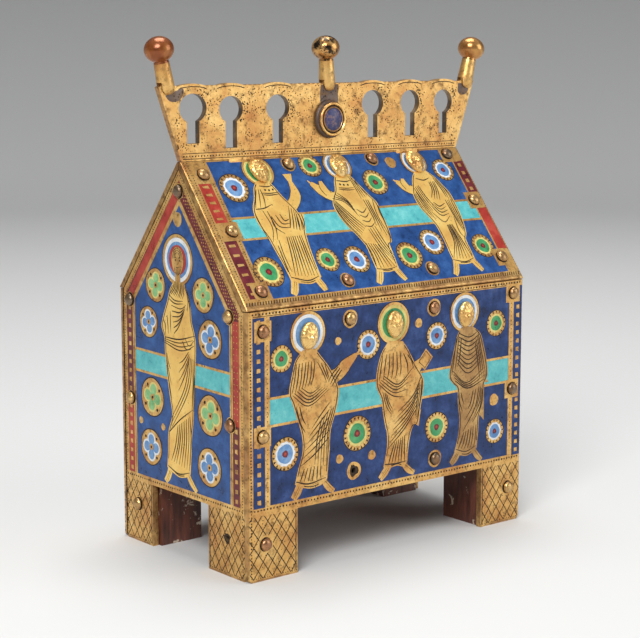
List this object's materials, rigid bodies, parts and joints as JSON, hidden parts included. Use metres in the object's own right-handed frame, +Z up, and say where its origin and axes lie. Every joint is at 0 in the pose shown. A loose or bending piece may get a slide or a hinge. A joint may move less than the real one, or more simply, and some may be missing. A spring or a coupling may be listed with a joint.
{
  "type": "reliquary casket",
  "caption": "Small gabled wooden casket on square feet, sheathed in enamelled copper plates with standing figures, under a pierced ridge crest with knobs.",
  "frame": {"origin": "on the floor, at the centre of the casket's foot plan", "axes": "+X along the front to the right as seen from the front, +Y from the front to the back, +Z up; the front with its figures faces -Y"},
  "size_m": [0.1439, 0.0761, 0.1687],
  "materials": {
    "painted_wood": "old dark red paint, chipped",
    "enamelled_copper": "blue champleve enamel in gilt copper",
    "gilt_copper": "worn pitted gilding",
    "enamelled_boss": "browned gilt rings around dark blue enamel",
    "worn_gilding": "polished, gilding rubbed through to copper",
    "gilt_relief": "chased gilt copper, dark in the hollows",
    "gilt_nails": "rubbed domed heads"
  },
  "bodies": {
    "root": {"back_nail_1": "gilt_nails", "back_nail_2": "gilt_nails", "back_nail_3": "gilt_nails", "back_nail_4": "gilt_nails", "back_nail_5": "gilt_nails", "back_nail_6": "gilt_nails", "back_plate": "enamelled_copper", "back_roof_nail_1": "gilt_nails", "back_roof_nail_2": "gilt_nails", "back_roof_nail_3": "gilt_nails", "back_roof_nail_4": "gilt_nails", "back_roof_plate": "enamelled_copper", "bottom_board": "painted_wood", "crest": "gilt_copper", "crest_medallion": "enamelled_boss", "front_head_left": "gilt_relief", "front_head_middle": "gilt_relief", "front_head_right": "gilt_relief", "front_nail_1": "gilt_nails", "front_nail_2": "gilt_nails", "front_nail_3": "gilt_nails", "front_nail_4": "gilt_nails", "front_nail_5": "gilt_nails", "front_nail_6": "gilt_nails", "front_nail_7": "gilt_nails", "front_nail_8": "gilt_nails", "front_nail_9": "gilt_nails", "front_plate": "enamelled_copper", "front_roof_nail_1": "gilt_nails", "front_roof_nail_10": "gilt_nails", "front_roof_nail_2": "gilt_nails", "front_roof_nail_3": "gilt_nails", "front_roof_nail_4": "gilt_nails", "front_roof_nail_5": "gilt_nails", "front_roof_nail_6": "gilt_nails", "front_roof_nail_7": "gilt_nails", "front_roof_nail_8": "gilt_nails", "front_roof_nail_9": "gilt_nails", "front_roof_plate": "enamelled_copper", "left_end_nail_1": "gilt_nails", "left_end_nail_2": "gilt_nails", "left_end_nail_3": "gilt_nails", "left_end_nail_4": "gilt_nails", "left_end_nail_5": "gilt_nails", "left_end_nail_6": "gilt_nails", "left_end_plate": "enamelled_copper", "left_finial": "worn_gilding", "middle_finial": "worn_gilding", "right_end_nail_1": "gilt_nails", "right_end_nail_2": "gilt_nails", "right_end_nail_3": "gilt_nails", "right_end_nail_4": "gilt_nails", "right_end_nail_5": "gilt_nails", "right_end_plate": "enamelled_copper", "right_finial": "worn_gilding", "roof_head_left": "gilt_relief", "roof_head_middle": "gilt_relief", "roof_head_right": "gilt_relief", "wooden_core": "painted_wood"}
  },
  "joints": []
}
